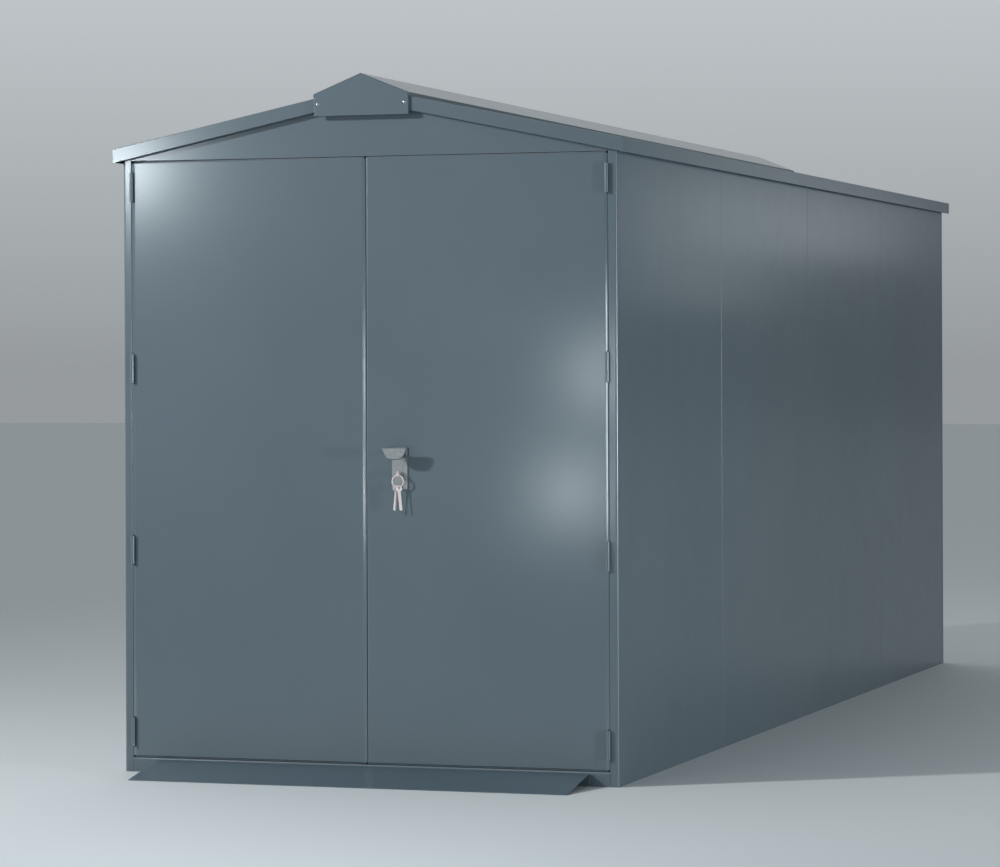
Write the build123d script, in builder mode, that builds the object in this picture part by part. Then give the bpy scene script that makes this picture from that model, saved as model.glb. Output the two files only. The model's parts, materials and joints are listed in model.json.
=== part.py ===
from build123d import *
import math
import os

# Metal tool shed, sizes in millimetres. X runs across the front, Y from the
# front to the rear, Z up. The origin is on the ground, in the middle of the
# overall outline, from the toe of the ramp to the rear end of the ridge.

# Body of the shed
shed_width = 1520.0
bay_length = 1118.0
bay_count = 4
eaves_height = 1832.0
roof_pitch = 11.75

# Pressed steel sheet
sheet = 1.2
fold = 2.0
corner_fold = 7.0
edge_fold = 5.0
edge_chamfer = 0.8
seat = 0.3
wall_flange = 24.0

# Roof
side_overhang = 24.0
end_overhang = 20.0
lip_depth = 40.0
lip_hem = 10.0
ridge_notch = 5.0
ridge_cap_width = 292.0
ridge_cap_pitch = 21.7
ridge_cap_lip = 11.0
cap_end_depth = 8.0
cap_end_skirt = 63.0

# Doorway and floor
post_width = 26.0
post_leg = 30.0
sill_height = 42.0
floor_height = 38.0
floor_lip = 22.0
door_gap = 6.0
meeting_gap = 7.0
head_drop = 36.0
door_depth = 28.0
door_lip = 18.0
stop_clearance = 6.0
stop_lip = 14.0
threshold_lip = 14.0
rail_depth = 18.0
header_height = 30.0

# Ramp
ramp_reach = 220.0
ramp_width = 1324.0
ramp_offset = 11.0
ramp_plate = 2.5
ramp_drop = 4.0
ramp_landing = 10.0

# Hinges
hinge_length = 84.0
hinge_radius = 5.5
hinge_pin_radius = 2.5
hinge_running = 0.2
hinge_leaf = 1.5
hinge_leaf_reach = 24.0
hinge_count = 4
hinge_inset = 70.0

# Lock
lock_offset = 106.0
handle_height = 940.0
backplate_width = 47.0
backplate_height = 122.0
backplate_rise = 17.0
backplate_thickness = 3.0
backplate_round = 5.0
cylinder_drop = 60.0
cylinder_radius = 8.5
cylinder_stand = 3.0
spindle_radius = 6.0
rose_radius = 11.0
rose_stand = 5.0
handle_stand = 46.0
grip_depth = 12.0
grip_top = 79.0
grip_foot = 46.0
grip_height = 34.0
grip_round = 20.0
grip_corner = 2.5
grip_edge = 2.0

# Keys
key_thickness = 2.2
bow_radius = 9.5
key_hole_radius = 4.2
key_hole_inset = 6.2
blade_width = 8.0
blade_tip = 2.5
blade_length = 54.0
blade_depth = 4.0
shoulder_gap = 1.0
bow_sides = 8
ring_radius = 17.0
ring_wire = 1.2
key_spread = 10.0
key_splay = 6.0
key_twist = 45.0

# Door stiffening
brace_width = 40.0
brace_depth = 20.0
brace_flange = 12.0

# Places worked out from the sizes above
shed_length = bay_length * bay_count
cap_overhang = end_overhang + seat + cap_end_depth
front_y = (ramp_reach - shed_length - cap_overhang) / 2
rear_y = front_y + shed_length
half_width = shed_width / 2
eaves_half = half_width + side_overhang
pitch_rise = math.tan(math.radians(roof_pitch))
sheet_drop = sheet / math.cos(math.radians(roof_pitch))
door_head = eaves_height - head_drop
jamb_x = half_width - post_width
door_edge_x = jamb_x - door_gap
door_inner_x = meeting_gap / 2
door_foot = sill_height + door_gap
door_top = door_head - door_gap
stop_y = front_y + door_depth + stop_clearance
hinge_x = (jamb_x + door_edge_x) / 2
hinge_y = front_y - hinge_radius - seat
post_clear = half_width - post_leg - seat


def roof_top(x):
    """Height of the roof's upper surface at x."""
    return eaves_height + (eaves_half - abs(x)) * pitch_rise


def under_roof(x):
    """Height of a piece that seats under the roof sheets at x."""
    return roof_top(x) - sheet_drop - seat


def laid_left(points, distance):
    """The run of points moved to its left by a distance, with mitred corners."""
    moved = []
    for index, point in enumerate(points):
        here = Vector(*point)
        ways = []
        if index > 0:
            ways.append((here - Vector(*points[index - 1])).normalized())
        if index < len(points) - 1:
            ways.append((Vector(*points[index + 1]) - here).normalized())
        normals = [Vector(-way.Y, way.X) for way in ways]
        middle = (normals[0] + normals[-1]).normalized()
        moved.append(here + middle * (distance / middle.dot(normals[0])))
    return moved


def bent_sheet(points, radii, thickness=sheet):
    """Outline of a sheet bent along the points and laid to the left of them.

    One outer radius is given for each corner, or none for plain folds.
    """
    far_points = laid_left(points, thickness)
    if not radii:
        Polyline(*points, *reversed(far_points), close=True)
        return
    near_radii = []
    far_radii = []
    for before, corner, after, radius in zip(points, points[1:], points[2:], radii):
        cross = (Vector(*corner) - Vector(*before)).cross(Vector(*after) - Vector(*corner))
        left_turn = cross.Z > 0
        near_radii.append(radius if left_turn else radius - thickness)
        far_radii.append(radius - thickness if left_turn else radius)
    near = FilletPolyline(*points, radius=near_radii)
    far = FilletPolyline(*far_points, radius=far_radii)
    Line(near @ 0, far @ 0)
    Line(near @ 1, far @ 1)


def mirrored(piece):
    """The same piece on the other side of the shed."""
    with BuildPart() as twin:
        add(piece.part)
        mirror(about=Plane.YZ, mode=Mode.REPLACE)
    return twin


def finish(piece, label):
    """Name a finished piece and write it to its own file."""
    piece.part.label = label
    export_step(piece.part, f"parts/{label}.step")


os.makedirs("parts", exist_ok=True)


# Side walls: pressed trays, one a bay, with their flanges turned inwards
def side_wall(start_y, end_y):
    """One tray of the right-hand wall, between two places along the shed."""
    inner_x = half_width - wall_flange
    with BuildPart() as tray:
        with BuildSketch(Plane.XZ.offset(-end_y)):
            with BuildLine():
                Polyline(
                    (inner_x, 0),
                    (half_width, 0),
                    (half_width, under_roof(half_width)),
                    (inner_x, under_roof(inner_x)),
                    close=True,
                )
            make_face()
        extrude(amount=end_y - start_y)
        offset(amount=-sheet, openings=tray.faces().sort_by(Axis.X)[0])
        fillet(tray.faces().sort_by(Axis.X)[-1].edges().filter_by(Axis.Z), fold)
    return tray


for bay in range(bay_count):
    start_y = front_y + bay * bay_length + seat / 2
    end_y = start_y + bay_length - seat
    if bay == 0:
        start_y = front_y + post_leg + seat
    if bay == bay_count - 1:
        end_y = rear_y - post_leg - seat
    wall = side_wall(start_y, end_y)
    finish(wall, f"side_wall_right_{bay + 1}")
    finish(mirrored(wall), f"side_wall_left_{bay + 1}")


# Rear wall: two trays between the rear corner posts
with BuildPart() as rear_wall:
    with BuildSketch(Plane.XZ.offset(-rear_y)):
        with Locations(((seat / 2 + post_clear) / 2, (door_head - seat) / 2)):
            Rectangle(post_clear - seat / 2, door_head - seat)
    extrude(amount=wall_flange)
    offset(amount=-sheet, openings=rear_wall.faces().sort_by(Axis.Y)[0])
    fillet(rear_wall.faces().sort_by(Axis.Y)[-1].edges().filter_by(Axis.Z), fold)
finish(rear_wall, "rear_wall_right")
finish(mirrored(rear_wall), "rear_wall_left")


# Lift-off hinges in front of the gap between door and post, their leaves inside
# it: each post carries the lower knuckles with their pins, each door the upper
hinge_step = (door_top - door_foot - 2 * hinge_inset) / (hinge_count - 1)
hinge_places = [door_foot + hinge_inset + number * hinge_step for number in range(hinge_count)]
knuckle = hinge_length / 2
leaf_root_y = hinge_y + hinge_radius * 2 / 3
leaf_end_y = front_y + hinge_leaf_reach


def hinge_knuckle(radius, centre_z):
    """A round of a hinge on its axis, inside a part being built."""
    with Locations((hinge_x, hinge_y, centre_z)):
        Cylinder(radius, knuckle - hinge_running)


def hinge_plate(inner_x, first_y, centre_z, height):
    """A flat of a leaf, one leaf thickness wide, inside a part being built."""
    with Locations((inner_x + hinge_leaf / 2, (first_y + leaf_end_y) / 2, centre_z)):
        Box(hinge_leaf, leaf_end_y - first_y, height)


# Corner posts: folded sections, each with a leg on the side of the shed
def corner_post(points, radii):
    """A right-hand post standing on the ground, its top cut to the roof."""
    with BuildPart() as post:
        with BuildSketch():
            with BuildLine():
                bent_sheet(points, radii)
            make_face()
        extrude(amount=roof_top(0))
        with BuildSketch(Plane.XZ.offset(-rear_y)):
            with BuildLine():
                Polyline(
                    (eaves_half, under_roof(eaves_half)),
                    (eaves_half, roof_top(0)),
                    (0, roof_top(0)),
                    (0, under_roof(0)),
                    close=True,
                )
            make_face()
        extrude(amount=shed_length, mode=Mode.SUBTRACT)
    return post


with BuildPart() as front_post:
    front_run = [
        (jamb_x - stop_lip, stop_y),
        (jamb_x, stop_y),
        (jamb_x, front_y),
        (half_width, front_y),
        (half_width, front_y + post_leg),
    ]
    add(corner_post(front_run, [fold, fold, corner_fold]).part)
    for low_z, high_z in (
        (0, sill_height + threshold_lip + seat),
        (door_head - stop_lip - seat, roof_top(0)),
    ):
        with Locations((jamb_x - stop_lip / 2 - seat / 2, stop_y, (low_z + high_z) / 2)):
            Box(stop_lip + seat, 2 * fold, high_z - low_z, mode=Mode.SUBTRACT)
    for hinge_z in hinge_places:
        knuckle_z = hinge_z - knuckle / 2
        hinge_knuckle(hinge_radius, knuckle_z)
        hinge_plate(jamb_x - hinge_leaf, leaf_root_y, knuckle_z, knuckle - hinge_running)
        hinge_plate(jamb_x - hinge_leaf, front_y, hinge_z, hinge_length - hinge_running)
        with Locations((hinge_x, hinge_y, hinge_z)):
            Cylinder(hinge_pin_radius, 2 * (knuckle - hinge_running))
finish(front_post, "front_post_right")
finish(mirrored(front_post), "front_post_left")
rear_run = [
    (half_width, rear_y - post_leg),
    (half_width, rear_y),
    (half_width - post_leg, rear_y),
    (half_width - post_leg, rear_y - post_leg),
]
rear_post = corner_post(rear_run, [corner_fold, fold])
finish(rear_post, "rear_post_right")
finish(mirrored(rear_post), "rear_post_left")


# Gables: a tray closing the triangle under the roof, notched for its ridge
def gable(side_x, face_y, inward):
    """A gable reaching to side_x either way, its flanges turned inwards."""
    with BuildPart() as tray:
        with BuildSketch(Plane.XZ.offset(-face_y)):
            with BuildLine():
                Polyline(
                    (-side_x, door_head),
                    (side_x, door_head),
                    (side_x, under_roof(side_x)),
                    (0, under_roof(0)),
                    (-side_x, under_roof(side_x)),
                    close=True,
                )
            make_face()
        extrude(amount=-inward * wall_flange)
        face, back = (0, -1) if inward > 0 else (-1, 0)
        offset(amount=-sheet, openings=tray.faces().sort_by(Axis.Y)[back])
        fillet(tray.faces().sort_by(Axis.Y)[face].edges().filter_by(Axis.X), fold)
        with Locations((0, face_y + inward * wall_flange / 2, roof_top(0))):
            Box(ridge_notch, 2 * wall_flange, 2 * (lip_depth + seat), mode=Mode.SUBTRACT)
    return tray


finish(gable(jamb_x - seat, front_y, 1), "front_gable")
finish(gable(post_clear, rear_y, -1), "rear_gable")


# Door head and sill: folded sections between the front posts
def cross_rail(points, radii):
    """A section in the plane across the doorway, run from post to post."""
    reach = jamb_x - seat
    with BuildPart() as rail:
        with BuildSketch(Plane.YZ.offset(-reach)):
            with BuildLine():
                bent_sheet(points, radii)
            make_face()
        extrude(amount=2 * reach)
    return rail


rail_back_y = stop_y + rail_depth
header_run = [
    (front_y + wall_flange + seat, door_head + header_height),
    (front_y + wall_flange + seat, door_head),
    (stop_y, door_head),
    (stop_y, door_head - stop_lip),
    (rail_back_y, door_head - stop_lip),
    (rail_back_y, door_head + header_height),
]
door_header = cross_rail(header_run, [])
finish(door_header, "door_header")
sill_run = [
    (rail_back_y, 0),
    (rail_back_y, sill_height + threshold_lip),
    (stop_y, sill_height + threshold_lip),
    (stop_y, sill_height),
    (front_y, sill_height),
    (front_y, 0),
    (front_y + floor_lip, 0),
]
door_sill = cross_rail(sill_run, [fold, fold, fold, edge_fold, fold])
finish(door_sill, "door_sill")


# Floor: one tray a bay, its flanges turned down and lipped on the ground
def floor_panel(start_y, end_y):
    """One floor tray between two places along the shed."""
    reach = half_width - wall_flange - seat
    middle = (0, (start_y + end_y) / 2)
    with BuildPart() as tray:
        with BuildSketch():
            with Locations(middle):
                Rectangle(2 * reach, end_y - start_y)
        extrude(amount=floor_height)
        offset(amount=-sheet, openings=tray.faces().sort_by(Axis.Z)[0])
        with BuildSketch():
            with Locations(middle):
                Rectangle(2 * reach, end_y - start_y)
                Rectangle(
                    2 * (reach - floor_lip), end_y - start_y - 2 * floor_lip, mode=Mode.SUBTRACT
                )
        extrude(amount=sheet)
    return tray


for bay in range(bay_count):
    start_y = front_y + bay * bay_length + seat / 2
    end_y = start_y + bay_length - seat
    if bay == 0:
        start_y = rail_back_y + seat
    if bay == bay_count - 1:
        end_y = rear_y - post_leg - seat
    finish(floor_panel(start_y, end_y), f"floor_panel_{bay + 1}")


# Roof: one tray a bay on each slope, bolted flange to flange along the ridge
def roof_sheet(start_y, end_y, first, last):
    """One tray of the right-hand slope, its end flanges cut back at the wall."""
    with BuildPart() as tray:
        with BuildSketch(Plane.XZ.offset(-end_y)):
            with BuildLine():
                Polyline(
                    (seat / 2, roof_top(seat / 2)),
                    (eaves_half, eaves_height),
                    (eaves_half, eaves_height - lip_depth),
                    (seat / 2, roof_top(seat / 2) - lip_depth),
                    close=True,
                )
            make_face()
        extrude(amount=end_y - start_y)
        offset(
            amount=-sheet,
            openings=tray.faces().filter_by(lambda face: face.normal_at().Z < -0.5)[0],
        )
        top = tray.faces().filter_by(lambda face: face.normal_at().Z > 0.5)[0]
        folds = [top.edges().sort_by(Axis.X)[-1]]
        if first:
            folds.append(top.edges().sort_by(Axis.Y)[0])
        if last:
            folds.append(top.edges().sort_by(Axis.Y)[-1])
        fillet(folds, fold)
        with BuildSketch(Plane.XZ.offset(-end_y)):
            with Locations((eaves_half - lip_hem / 2, eaves_height - lip_depth + sheet / 2)):
                Rectangle(lip_hem, sheet)
        extrude(amount=end_y - start_y)
        clear_x = half_width - wall_flange - seat
        with BuildSketch(Plane.XZ.offset(-end_y + (end_overhang if last else 0))):
            with BuildLine():
                Polyline(
                    (clear_x, under_roof(clear_x)),
                    (eaves_half - sheet, under_roof(eaves_half - sheet)),
                    (eaves_half - sheet, eaves_height - lip_depth + sheet),
                    (clear_x, eaves_height - lip_depth + sheet),
                    close=True,
                )
            make_face()
        cut_length = end_y - start_y - (end_overhang if first else 0) - (end_overhang if last else 0)
        extrude(amount=cut_length, mode=Mode.SUBTRACT)
    return tray


for bay in range(bay_count):
    first = bay == 0
    last = bay == bay_count - 1
    start_y = front_y + bay * bay_length + seat / 2
    end_y = start_y + bay_length - seat
    if first:
        start_y = front_y - end_overhang
    if last:
        end_y = rear_y + end_overhang
    panel = roof_sheet(start_y, end_y, first, last)
    finish(panel, f"roof_sheet_right_{bay + 1}")
    finish(mirrored(panel), f"roof_sheet_left_{bay + 1}")


# Ridge cap: a steeper folded cover along the ridge, with a plate at each end
cap_half = ridge_cap_width / 2
cap_slope = math.tan(math.radians(ridge_cap_pitch))
cap_foot = roof_top(cap_half) + seat
cap_shoulder = cap_foot + ridge_cap_lip
cap_apex = cap_shoulder + cap_half * cap_slope
with BuildPart() as ridge_cap:
    with BuildSketch(Plane.XZ.offset(-(rear_y + cap_overhang))):
        with BuildLine():
            cap_run = [
                (cap_half, cap_foot),
                (cap_half, cap_shoulder),
                (0, cap_apex),
                (-cap_half, cap_shoulder),
                (-cap_half, cap_foot),
            ]
            bent_sheet(cap_run, [fold, fold, fold])
        make_face()
    extrude(amount=shed_length + 2 * cap_overhang)
finish(ridge_cap, "ridge_cap")

plate_half = cap_half - sheet - seat
plate_drop = (sheet + seat) / math.cos(math.radians(ridge_cap_pitch))
with BuildPart() as ridge_ends:
    with BuildSketch(Plane.XZ.offset(-(front_y - end_overhang - seat))):
        with BuildLine():
            Polyline(
                (-plate_half, cap_shoulder - cap_end_skirt),
                (plate_half, cap_shoulder - cap_end_skirt),
                (plate_half, cap_apex - plate_drop - plate_half * cap_slope),
                (0, cap_apex - plate_drop),
                (-plate_half, cap_apex - plate_drop - plate_half * cap_slope),
                close=True,
            )
        make_face()
    extrude(amount=cap_end_depth)
    offset(amount=-sheet, openings=ridge_ends.faces().sort_by(Axis.Y)[-1])
    fillet(ridge_ends.faces().sort_by(Axis.Y)[0].edges(), fold)
    mirror(about=Plane.XZ.offset(-(front_y + rear_y) / 2))
finish(ridge_ends, "ridge_end_plates")


# Ramp: a bent plate from the sill down to the ground
with BuildPart() as ramp:
    with BuildSketch(Plane.YZ.offset(ramp_offset - ramp_width / 2)):
        with BuildLine():
            ramp_run = [
                (front_y - seat, ramp_landing),
                (front_y - seat, sill_height - ramp_drop),
                (front_y - ramp_reach, ramp_plate),
            ]
            bent_sheet(ramp_run, [ramp_plate + sheet], ramp_plate)
        make_face()
    extrude(amount=ramp_width)
finish(ramp, "access_ramp")


# Doors: two trays hung on the front posts, lipped round the back, each with the
# upper knuckles of its hinges welded to its edge
door_width = door_edge_x - door_inner_x
door_height = door_top - door_foot
door_middle = ((door_inner_x + door_edge_x) / 2, (door_foot + door_top) / 2)
with BuildPart() as door:
    with BuildSketch(Plane.XY.offset(door_foot)) as door_outline:
        with Locations((door_middle[0], front_y + door_depth / 2)):
            Rectangle(door_width, door_depth)
        fillet(door_outline.vertices().sort_by(Axis.Y)[:2], edge_fold)
    extrude(amount=door_height)
    offset(amount=-sheet, openings=door.faces().sort_by(Axis.Y)[-1])
    rims = door.faces().sort_by(Axis.Z)[0].edges() + door.faces().sort_by(Axis.Z)[-1].edges()
    chamfer(rims.sort_by(Axis.Y)[:-2], edge_chamfer)
    with BuildSketch(Plane.XZ.offset(-(front_y + door_depth))):
        with Locations(door_middle):
            Rectangle(door_width, door_height)
            Rectangle(door_width - 2 * door_lip, door_height - 2 * door_lip, mode=Mode.SUBTRACT)
    extrude(amount=sheet)
    for hinge_z in hinge_places:
        knuckle_z = hinge_z + knuckle / 2
        hinge_knuckle(hinge_radius, knuckle_z)
        hinge_plate(door_edge_x, leaf_root_y, knuckle_z, knuckle - hinge_running)
        hinge_plate(door_edge_x, front_y, hinge_z, hinge_length - hinge_running)
        with Locations((hinge_x, hinge_y, knuckle_z)):
            Cylinder(hinge_pin_radius + hinge_running, knuckle, mode=Mode.SUBTRACT)
finish(door, "door_right")
finish(mirrored(door), "door_left")

lock_z = handle_height - cylinder_drop / 2
brace_places = [(door_foot + lock_z) / 2, lock_z, (lock_z + door_top) / 2]
brace_y = front_y + sheet + seat
brace_run = [
    (brace_y, -brace_width / 2 - brace_flange),
    (brace_y, -brace_width / 2),
    (brace_y + brace_depth, -brace_width / 2),
    (brace_y + brace_depth, brace_width / 2),
    (brace_y, brace_width / 2),
    (brace_y, brace_width / 2 + brace_flange),
]
with BuildPart() as braces:
    with BuildSketch(Plane.YZ.offset(door_inner_x + edge_fold + seat)):
        for brace_z in brace_places:
            with BuildLine():
                bent_sheet([(y, brace_z + z) for y, z in reversed(brace_run)], [])
            make_face()
    extrude(amount=door_width - 2 * (edge_fold + seat))
finish(braces, "door_right_braces")
finish(mirrored(braces), "door_left_braces")


# Lock plate: carries the rose for the handle above and the cylinder below
plate_face_y = front_y - seat - backplate_thickness
cylinder_z = handle_height - cylinder_drop
with BuildPart() as backplate:
    with BuildSketch(Plane.XZ.offset(-(front_y - seat))):
        with Locations((lock_offset, handle_height + backplate_rise - backplate_height / 2)):
            RectangleRounded(backplate_width, backplate_height, backplate_round)
    extrude(amount=backplate_thickness)
    with BuildSketch(Plane.XZ.offset(-plate_face_y)):
        with Locations((lock_offset, handle_height)):
            Circle(rose_radius)
    extrude(amount=rose_stand)
    with BuildSketch(Plane.XZ.offset(-plate_face_y)):
        with Locations((lock_offset, cylinder_z)):
            Circle(cylinder_radius)
    extrude(amount=cylinder_stand)
    with BuildSketch(Plane.XZ.offset(-(front_y - seat))):
        with Locations((lock_offset, handle_height)):
            Circle(spindle_radius + hinge_running)
        with Locations((lock_offset, cylinder_z)):
            Rectangle(key_thickness + 2 * seat, blade_width + 2 * seat)
    extrude(amount=backplate_thickness + rose_stand + cylinder_stand, mode=Mode.SUBTRACT)
finish(backplate, "lock_backplate")


# Handle: a flared grip standing off the door on a round spindle
with BuildPart() as handle:
    with BuildSketch(Plane.XZ.offset(-(front_y - handle_stand + grip_depth / 2))):
        with BuildLine():
            FilletPolyline(
                (lock_offset - grip_top / 2, handle_height + grip_height / 2),
                (lock_offset - grip_foot / 2, handle_height - grip_height / 2),
                (lock_offset + grip_foot / 2, handle_height - grip_height / 2),
                (lock_offset + grip_top / 2, handle_height + grip_height / 2),
                close=True,
                radius=[grip_corner, grip_round, grip_round, grip_corner],
            )
        make_face()
    extrude(amount=grip_depth)
    chamfer(handle.faces().sort_by(Axis.Y)[0].edges(), grip_edge)
    with BuildSketch(Plane.XZ.offset(-(front_y - 2 * seat))):
        with Locations((lock_offset, handle_height)):
            Circle(spindle_radius)
    extrude(amount=handle_stand - 2 * seat)
finish(handle, "lock_handle")


# Keys: one in the cylinder, its ring through the bow, two more on the ring
def key(plane, blade):
    """A key lying in the plane, its hole at the origin and its blade downwards."""
    bow_drop = bow_radius - key_hole_inset
    foot = bow_drop + bow_radius + blade
    with BuildPart() as one:
        with BuildSketch(plane.offset(-key_thickness / 2)) as outline:
            with Locations((0, -(bow_drop + foot) / 2)):
                Rectangle(blade_width, foot - bow_drop)
            chamfer(outline.vertices().sort_by(Axis.Y)[:2], blade_tip)
            with Locations((0, -bow_drop)):
                RegularPolygon(bow_radius, bow_sides, major_radius=False)
            Circle(key_hole_radius, mode=Mode.SUBTRACT)
        extrude(amount=key_thickness)
    return one


bow_face_y = plate_face_y - cylinder_stand - shoulder_gap
ring_y = bow_face_y - 2 * bow_radius + key_hole_inset
lock_key = key(
    Plane(origin=(lock_offset, ring_y, cylinder_z), x_dir=(0, 0, 1), z_dir=(1, 0, 0)),
    shoulder_gap + blade_depth,
)
finish(lock_key, "lock_key")

ring_hang = key_hole_radius - ring_wire - seat
ring_z = cylinder_z - ring_hang - ring_radius
twist = math.radians(key_twist)
wire_reach = (ring_wire + key_thickness / 2 * math.sin(twist)) / math.cos(twist)
key_hang = math.sqrt((key_hole_radius - seat) ** 2 - wire_reach**2) - ring_wire - seat
with BuildPart() as spare_keys:
    with BuildSketch(Plane.XZ.offset(-(ring_y + ring_wire))):
        with Locations((lock_offset, ring_z)):
            Circle(ring_radius + ring_wire)
            Circle(ring_radius - ring_wire, mode=Mode.SUBTRACT)
    extrude(amount=2 * ring_wire)
    for side in (-1, 1):
        along = math.radians(side * key_spread)
        lean = math.radians(side * key_splay)
        hole = (
            lock_offset + ring_radius * math.sin(along) + key_hang * math.sin(lean),
            ring_y,
            ring_z - ring_radius * math.cos(along) - key_hang * math.cos(lean),
        )
        across = (math.sin(twist) * math.cos(lean), math.cos(twist), math.sin(twist) * math.sin(lean))
        facing = (math.cos(twist) * math.cos(lean), -math.sin(twist), math.cos(twist) * math.sin(lean))
        add(key(Plane(origin=hole, x_dir=across, z_dir=facing), blade_length).part)
finish(spare_keys, "spare_keys")
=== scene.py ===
"""The looks of a long, narrow shed of folded and painted steel sheet."""

import json
import math

import bmesh
import bpy
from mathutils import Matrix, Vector


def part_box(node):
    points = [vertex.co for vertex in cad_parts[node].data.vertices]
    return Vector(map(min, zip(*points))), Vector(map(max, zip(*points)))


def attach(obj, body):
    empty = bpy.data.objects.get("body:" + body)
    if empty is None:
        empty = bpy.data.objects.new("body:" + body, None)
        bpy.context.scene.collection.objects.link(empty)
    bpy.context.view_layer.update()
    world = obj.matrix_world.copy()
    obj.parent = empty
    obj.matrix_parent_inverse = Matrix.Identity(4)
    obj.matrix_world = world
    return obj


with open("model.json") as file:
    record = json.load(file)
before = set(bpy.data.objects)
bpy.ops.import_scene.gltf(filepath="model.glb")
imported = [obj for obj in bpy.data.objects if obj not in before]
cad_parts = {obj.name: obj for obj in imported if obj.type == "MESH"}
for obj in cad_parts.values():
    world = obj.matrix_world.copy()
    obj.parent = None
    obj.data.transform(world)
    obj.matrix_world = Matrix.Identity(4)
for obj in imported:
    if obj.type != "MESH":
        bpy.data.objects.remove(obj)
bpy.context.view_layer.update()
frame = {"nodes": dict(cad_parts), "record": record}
nodes = frame["nodes"]

# Places read from the frame, in metres; the walls start a post's leg behind the front
post_leg = 0.0303
front_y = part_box("side_wall_right_1")[0].y - post_leg
half_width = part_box("side_wall_right_1")[1].x


def make_material(name, roughness, metallic=0.0):
    """A node material with its shader's plain values set; returns it with its tree and shader."""
    material = bpy.data.materials.new(name)
    material.use_nodes = True
    tree = material.node_tree
    shader = tree.nodes["Principled BSDF"]
    shader.inputs["Roughness"].default_value = roughness
    shader.inputs["Metallic"].default_value = metallic
    return material, tree, shader


def noise(tree, scale, detail=3.0, roughness=0.5, stretch=(1.0, 1.0, 1.0)):
    """Noise over the object's own coordinates."""
    place = tree.nodes.new("ShaderNodeTexCoord")
    mapping = tree.nodes.new("ShaderNodeMapping")
    mapping.inputs["Scale"].default_value = stretch
    texture = tree.nodes.new("ShaderNodeTexNoise")
    texture.inputs["Scale"].default_value = scale
    texture.inputs["Detail"].default_value = detail
    texture.inputs["Roughness"].default_value = roughness
    tree.links.new(place.outputs["Object"], mapping.inputs["Vector"])
    tree.links.new(mapping.outputs["Vector"], texture.inputs["Vector"])
    return texture.outputs["Fac"]


def spread(tree, value, low, high, from_low=0.3, from_high=0.7):
    """A value stretched to another range."""
    ranged = tree.nodes.new("ShaderNodeMapRange")
    ranged.inputs["From Min"].default_value = from_low
    ranged.inputs["From Max"].default_value = from_high
    ranged.inputs["To Min"].default_value = low
    ranged.inputs["To Max"].default_value = high
    tree.links.new(value, ranged.inputs["Value"])
    return ranged.outputs["Result"]


def blend_colours(tree, value, first, second):
    """Two colours mixed by a value."""
    mix = tree.nodes.new("ShaderNodeMix")
    mix.data_type = "RGBA"
    mix.inputs["A"].default_value = (*first, 1.0)
    mix.inputs["B"].default_value = (*second, 1.0)
    tree.links.new(value, mix.inputs["Factor"])
    return mix.outputs["Result"]


def bump(tree, shader, heights):
    """Stacked bumps on a shader; heights holds (value, strength, distance)."""
    normal = None
    for value, strength, distance in heights:
        node = tree.nodes.new("ShaderNodeBump")
        node.inputs["Strength"].default_value = strength
        node.inputs["Distance"].default_value = distance
        tree.links.new(value, node.inputs["Height"])
        if normal is not None:
            tree.links.new(normal, node.inputs["Normal"])
        normal = node.outputs["Normal"]
    tree.links.new(normal, shader.inputs["Normal"])


def painted_fold_highlight(tree):
    """A mask that is white where the sheet turns through a fold and black on its flats; it places a
    painted highlight on the folds.
    """
    place = tree.nodes.new("ShaderNodeTexCoord")
    unsigned = tree.nodes.new("ShaderNodeVectorMath")
    unsigned.operation = "ABSOLUTE"
    parts = tree.nodes.new("ShaderNodeSeparateXYZ")
    tree.links.new(place.outputs["Normal"], unsigned.inputs[0])
    tree.links.new(unsigned.outputs["Vector"], parts.inputs["Vector"])
    widest = parts.outputs["X"]
    for axis in ("Y", "Z"):
        larger = tree.nodes.new("ShaderNodeMath")
        larger.operation = "MAXIMUM"
        tree.links.new(widest, larger.inputs[0])
        tree.links.new(parts.outputs[axis], larger.inputs[1])
        widest = larger.outputs["Value"]
    return spread(tree, widest, 1.0, 0.0, from_low=0.82, from_high=0.97)


def painted_sheet(name, tones, roughness, coat=0.48, coat_roughness=0.2):
    """Satin paint on thin sheet: mottling, orange peel, a slow ripple and folds made paler by a painted
    highlight.

    The tones are two for the mottling and one for the painted highlight on the folds.
    """
    tone_a, tone_b, fold_highlight_tone = tones
    material, tree, shader = make_material(name, roughness)
    shader.inputs["Specular IOR Level"].default_value = 0.06
    shader.inputs["Coat Weight"].default_value = coat
    shader.inputs["Coat IOR"].default_value = 1.9
    shader.inputs["Coat Roughness"].default_value = coat_roughness
    mottle = noise(tree, 2.2, 2.0)
    paint = blend_colours(tree, spread(tree, mottle, 0.0, 1.0), tone_a, tone_b)
    # The folds take a paler tone: a painted highlight for the light that the rounded folds catch
    fold_highlight = tree.nodes.new("ShaderNodeMix")
    fold_highlight.data_type = "RGBA"
    fold_highlight.inputs["B"].default_value = (*fold_highlight_tone, 1.0)
    tree.links.new(painted_fold_highlight(tree), fold_highlight.inputs["Factor"])
    tree.links.new(paint, fold_highlight.inputs["A"])
    tree.links.new(fold_highlight.outputs["Result"], shader.inputs["Base Color"])
    uneven = spread(tree, noise(tree, 9.0, 2.0), roughness - 0.02, roughness + 0.02)
    tree.links.new(uneven, shader.inputs["Roughness"])
    ripple = noise(tree, 1.3, 0.0, stretch=(1.0, 1.0, 0.7))
    orange_peel = noise(tree, 420.0, 2.0)
    bump(tree, shader, ((ripple, 0.18, 0.0008), (orange_peel, 0.10, 0.0005)))
    return material


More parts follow.
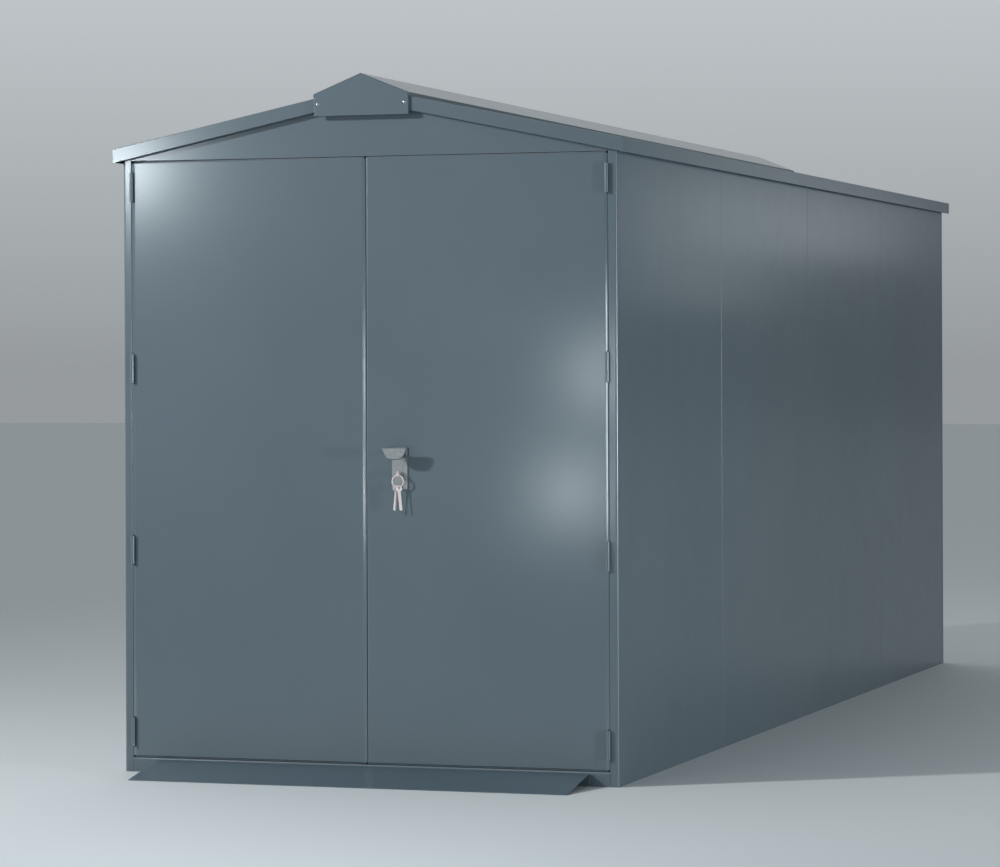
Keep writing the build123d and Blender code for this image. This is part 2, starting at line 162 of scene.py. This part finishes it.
def satin_metal(name, tone_a, tone_b, roughness, metallic=1.0):
    """Cast or brushed metal with a little unevenness."""
    material, tree, shader = make_material(name, roughness, metallic)
    cloudy = spread(tree, noise(tree, 90.0, 4.0), 0.0, 1.0)
    tree.links.new(blend_colours(tree, cloudy, tone_a, tone_b), shader.inputs["Base Color"])
    bump(tree, shader, ((noise(tree, 700.0, 2.0), 0.15, 0.0003),))
    return material


def rubber(name, tone_a, tone_b):
    """Matt extruded rubber, a little dusty; its one use is the dark seals that paint the shade of the
    door gaps.
    """
    material, tree, shader = make_material(name, 0.7)
    dusty = spread(tree, noise(tree, 35.0, 4.0), 0.0, 1.0)
    tree.links.new(blend_colours(tree, dusty, tone_a, tone_b), shader.inputs["Base Color"])
    bump(tree, shader, ((noise(tree, 900.0, 2.0), 0.2, 0.0002),))
    return material


# The third tone in each set is a painted highlight on the folds
shell_tones = ((0.091, 0.122, 0.144), (0.099, 0.132, 0.155), (0.155, 0.19, 0.215))
floor_tones = ((0.081, 0.118, 0.146), (0.090, 0.130, 0.160), (0.12, 0.16, 0.19))
shell_paint = painted_sheet("shell_paint", shell_tones, 0.4)
strip_paint = painted_sheet("strip_paint", shell_tones, 0.4, coat=0.9)
edge_paint = painted_sheet("edge_paint", shell_tones, 0.4, coat=1.0, coat_roughness=0.14)
floor_paint = painted_sheet("floor_paint", floor_tones, 0.45)
lock_metal = satin_metal("lock_metal", (0.27, 0.285, 0.295), (0.34, 0.355, 0.365), 0.42)
key_metal = satin_metal("key_metal", (0.64, 0.55, 0.54), (0.74, 0.65, 0.64), 0.55, metallic=0.25)
screw_metal = satin_metal("screw_metal", (0.55, 0.56, 0.58), (0.66, 0.67, 0.69), 0.3)
# Dark seals in the head and foot gaps of the doors: painted shade where the gaps hold only shadow
gap_shade_rubber = rubber("gap_shade_rubber", (0.070, 0.094, 0.111), (0.082, 0.108, 0.127))

paint_by_slot = {
    "shell_paint": shell_paint,
    "floor_paint": floor_paint,
    "lock_metal": lock_metal,
    "key_metal": key_metal,
}
slots = {entry["node"]: entry["material_slot"] for entry in frame["record"]["subparts"]}
for name, node in nodes.items():
    node.material_slots[0].material = paint_by_slot[slots[name]]


# Small pieces that the CAD model leaves to the visual one
crease = math.radians(35.0)


def new_piece(name, geometry, material, body):
    """A mesh piece from a bmesh, smooth up to its creases, riding on a body."""
    bmesh.ops.recalc_face_normals(geometry, faces=geometry.faces)
    for face in geometry.faces:
        face.smooth = True
    for edge in geometry.edges:
        edge.smooth = edge.calc_face_angle(0.0) < crease
    mesh = bpy.data.meshes.new(name)
    geometry.to_mesh(mesh)
    geometry.free()
    mesh.materials.append(material)
    piece = bpy.data.objects.new(name, mesh)
    bpy.context.scene.collection.objects.link(piece)
    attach(piece, body)


def add_dome(geometry, centre, out, radius, height):
    """A domed screw head with a rolled edge and a cross recess, standing on an upright face."""
    out = Vector(out).normalized()
    side = out.cross(Vector((0.0, 0.0, 1.0))).normalized()
    up = out.cross(side)
    turns = 24
    angles = [turn * math.tau / turns for turn in range(turns)]
    ways = [side * math.cos(angle) + up * math.sin(angle) for angle in angles]
    profile = ((1.0, 0.0), (1.0, 0.22), (0.93, 0.48), (0.76, 0.76), (0.52, 0.94), (0.30, 1.0))
    rings = []
    for reach_part, rise in profile:
        level = Vector(centre) + out * height * rise
        rings.append([geometry.verts.new(level + way * radius * reach_part) for way in ways])
    recess_floor = Vector(centre) + out * height * 0.45
    recess = []
    for turn, way in enumerate(ways):
        arm = 0.28 if turn % (turns // 4) == 0 else 0.10
        recess.append(geometry.verts.new(recess_floor + way * radius * arm))
    rings.append(recess)
    for first, second in zip(rings, rings[1:]):
        for turn in range(turns):
            after = (turn + 1) % turns
            geometry.faces.new((first[turn], first[after], second[after], second[turn]))
    geometry.faces.new(rings[-1])


# Outlines of lips: how far they stand out from an edge and reach back behind it
flat_lip = (
    (0.0, 0.0), (0.0036, 0.0002), (0.0047, 0.0008), (0.0052, 0.0020), (0.0052, 0.0074),
    (0.0047, 0.0092), (0.0036, 0.0098), (0.0, 0.0100),
)
crowned_lip = (
    (0.0, 0.0), (0.0024, 0.00034), (0.0048, 0.00072), (0.0072, 0.00115), (0.0096, 0.00162),
    (0.0103, 0.0020), (0.0106, 0.0027), (0.0106, 0.0090), (0.0100, 0.0096), (0.0090, 0.0098),
    (0.0046, 0.0100),
)


def add_lip(geometry, start, end, out, back, outline):
    """A lip of trim along an edge, from one end to the other."""
    start, end, out, back = Vector(start), Vector(end), Vector(out), Vector(back)
    rings = [
        [geometry.verts.new(place + out * rise + back * depth) for rise, depth in outline]
        for place in (start, end)
    ]
    count = len(outline)
    for spot in range(count):
        after = (spot + 1) % count
        geometry.faces.new((rings[0][spot], rings[0][after], rings[1][after], rings[1][spot]))
    geometry.faces.new(rings[0])
    geometry.faces.new(list(reversed(rings[1])))


# Trim of the doors: strips over the upright folds, and dark seals along the head and foot as painted
# shade in those gaps
backwards = (0, 1, 0)
door_edge_x = 0.728
door_meeting_x = 0.0035
hinge_strip_x = 0.7226
meeting_strip_x = 0.0084
strip_y = front_y - 0.0001
gap_shade_y = front_y + 0.0028
hinge_count = 4
lowest_hinge = 0.118
highest_hinge = 1.720
hinge_half = 0.044
hinge_step = (highest_hinge - lowest_hinge) / (hinge_count - 1)
hinge_heights = [lowest_hinge + number * hinge_step for number in range(hinge_count)]
for side, sign in (("left", -1), ("right", 1)):
    low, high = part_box(f"door_{side}")
    stops = [low.z]
    for height in hinge_heights:
        stops += [height - hinge_half, height + hinge_half]
    stops.append(high.z)

    # A strip over the fold beside the post, stopped at each hinge
    geometry = bmesh.new()
    for bottom, top in zip(stops[::2], stops[1::2]):
        start = (sign * hinge_strip_x, strip_y, bottom)
        end = (sign * hinge_strip_x, strip_y, top)
        add_lip(geometry, start, end, (sign, 0, 0), backwards, crowned_lip)
    new_piece(f"hinge_strip_{side}", geometry, edge_paint, f"{side}_door")

    # One dark seal above the door and one below it, painted shade for the gaps
    geometry = bmesh.new()
    for height, up in ((low.z, -1), (high.z, 1)):
        start = (sign * door_meeting_x, gap_shade_y, height)
        end = (sign * door_edge_x, gap_shade_y, height)
        add_lip(geometry, start, end, (0, 0, up), backwards, flat_lip)
    new_piece(f"door_gap_shade_{side}", geometry, gap_shade_rubber, f"{side}_door")

# A strip over the fold where the doors meet
low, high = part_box("door_left")
geometry = bmesh.new()
start = (-meeting_strip_x, strip_y, low.z)
end = (-meeting_strip_x, strip_y, high.z)
add_lip(geometry, start, end, (1, 0, 0), backwards, crowned_lip)
new_piece("meeting_strip", geometry, strip_paint, "left_door")

# Screws of the ridge end plates, domed in front and let in flush at the rear
screw_x = 0.133
screw_z = 1.947
screw_radius = 0.0045
domed_head = 0.002
flush_head = 0.0001
end_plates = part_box("ridge_end_plates")
for end, face_y, out, head in (
    ("front", end_plates[0].y, (0, -1, 0), domed_head),
    ("rear", end_plates[1].y, (0, 1, 0), flush_head),
):
    geometry = bmesh.new()
    for x in (-screw_x, screw_x):
        add_dome(geometry, (x, face_y, screw_z), out, screw_radius, head)
    new_piece(f"ridge_screws_{end}", geometry, screw_metal, "shed_body")


# Floor, world and lamps
def area_lamp(name, place, target, size, power, colour=(1.0, 1.0, 1.0), fan=180.0):
    """A soft oblong lamp aimed at a point; fan is the angle that its light fills."""
    data = bpy.data.lights.new(name, "AREA")
    data.shape = "RECTANGLE"
    data.size, data.size_y = size
    data.spread = math.radians(fan)
    data.energy = power
    data.color = colour
    lamp = bpy.data.objects.new(name, data)
    lamp.location = place
    lamp.rotation_euler = (Vector(target) - Vector(place)).to_track_quat("-Z", "Y").to_euler()
    lamp.visible_camera = False
    bpy.context.scene.collection.objects.link(lamp)


floor_mesh = bpy.data.meshes.new("studio_floor")
reach = 60.0
floor_mesh.from_pydata(
    [(-reach, -reach, 0), (reach, -reach, 0), (reach, reach, 0), (-reach, reach, 0)], [], [(0, 1, 2, 3)]
)
studio_floor = bpy.data.objects.new("studio_floor", floor_mesh)
bpy.context.scene.collection.objects.link(studio_floor)
floor_material, floor_tree, floor_shader = make_material("studio_floor", 0.8)
floor_shader.inputs["Base Color"].default_value = (0.66, 0.70, 0.715, 1.0)
floor_mesh.materials.append(floor_material)

# A pale surround, brightest overhead, dimmer on the right and behind the camera
world = bpy.data.worlds.new("studio")
world.use_nodes = True
sky = world.node_tree
direction = sky.nodes.new("ShaderNodeTexCoord")
parts = sky.nodes.new("ShaderNodeSeparateXYZ")
sky.links.new(direction.outputs["Generated"], parts.inputs["Vector"])
glow = spread(sky, parts.outputs["Z"], 0.34, 0.78, from_low=0.0, from_high=0.2)
overhead = spread(sky, parts.outputs["Z"], 0.0, 0.13, from_low=0.0, from_high=1.0)
rightward = spread(sky, parts.outputs["X"], 1.0, 0.3, from_low=-0.12, from_high=0.16)
backward = spread(sky, parts.outputs["Y"], 0.25, 1.0, from_low=-0.2, from_high=0.4)
for operation, other in (("MULTIPLY", rightward), ("MULTIPLY", backward), ("ADD", overhead)):
    level = sky.nodes.new("ShaderNodeMath")
    level.operation = operation
    sky.links.new(glow, level.inputs[0])
    sky.links.new(other, level.inputs[1])
    glow = level.outputs["Value"]
sky.links.new(glow, sky.nodes["Background"].inputs["Strength"])
sky.nodes["Background"].inputs["Color"].default_value = (0.90, 0.96, 1.0, 1.0)
bpy.context.scene.world = world
bpy.context.scene.view_settings.view_transform = "Standard"

# A sun from the left
area_lamp("sun_lamp", (-5.8, front_y - 4.55, 4.05), (0.0, front_y, 2.1), (0.5, 0.5), 139.0, fan=90.0)

# Cool lamps, long ones along the right wall and eaves, a far fill, and glints in the doors' paint
cool = (0.86, 0.95, 1.0)
band_size = (4.2, 0.3)
low_band_size = (1.8, 0.25)
lip_size = (4.2, 0.16)
fill_size = (0.5, 0.5)
corner_size = (0.14, 0.14)
glint_size = (0.16, 0.16)
edge_size = (0.14, 0.86)
for name, place, target, size, power in (
    ("band_lamp", (2.0, 4.5, 1.85), (half_width, 4.5, 1.85), band_size, 3.7),
    ("low_band_lamp", (2.0, 3.1, 1.57), (half_width, 3.1, 1.57), low_band_size, 0.85),
    ("lip_lamp", (2.0, 4.5, 2.14), (half_width, 4.5, 2.14), lip_size, 1.5),
    ("fill_lamp", (9.9, front_y - 2.5, 0.95), (half_width, front_y, 1.0), fill_size, 430.0),
    ("corner_glint_lamp", (-2.021, front_y - 2.721, 1.952), (-0.736, front_y, 1.785), corner_size, 9.5),
    ("upper_glint_lamp", (-0.01, front_y - 2.387, 1.162), (0.702, front_y, 1.167), glint_size, 1.8),
    ("edge_glint_lamp", (0.86, front_y - 2.4, 1.04), (0.73, front_y, 1.04), edge_size, 4.2),
    ("lower_glint_lamp", (-0.128, front_y - 2.382, 0.746), (0.627, front_y, 0.833), glint_size, 1.75),
):
    area_lamp(name, place, target, size, power, cool)

# Camera at the photograph's place, fitted to the shed's own lines in it
camera_roll = 0.00385
camera_pan = 0.31322
camera_data = bpy.data.cameras.new("camera")
camera_data.sensor_width = 36.0
camera_data.lens = 130.82
camera_data.shift_x = -0.0482
camera_data.shift_y = -0.06715
camera = bpy.data.objects.new("camera", camera_data)
camera.location = (3.7297, front_y - 9.8034, 1.1881)
camera.rotation_euler = (math.radians(90.0), camera_roll, camera_pan)
bpy.context.scene.collection.objects.link(camera)
bpy.context.scene.camera = camera
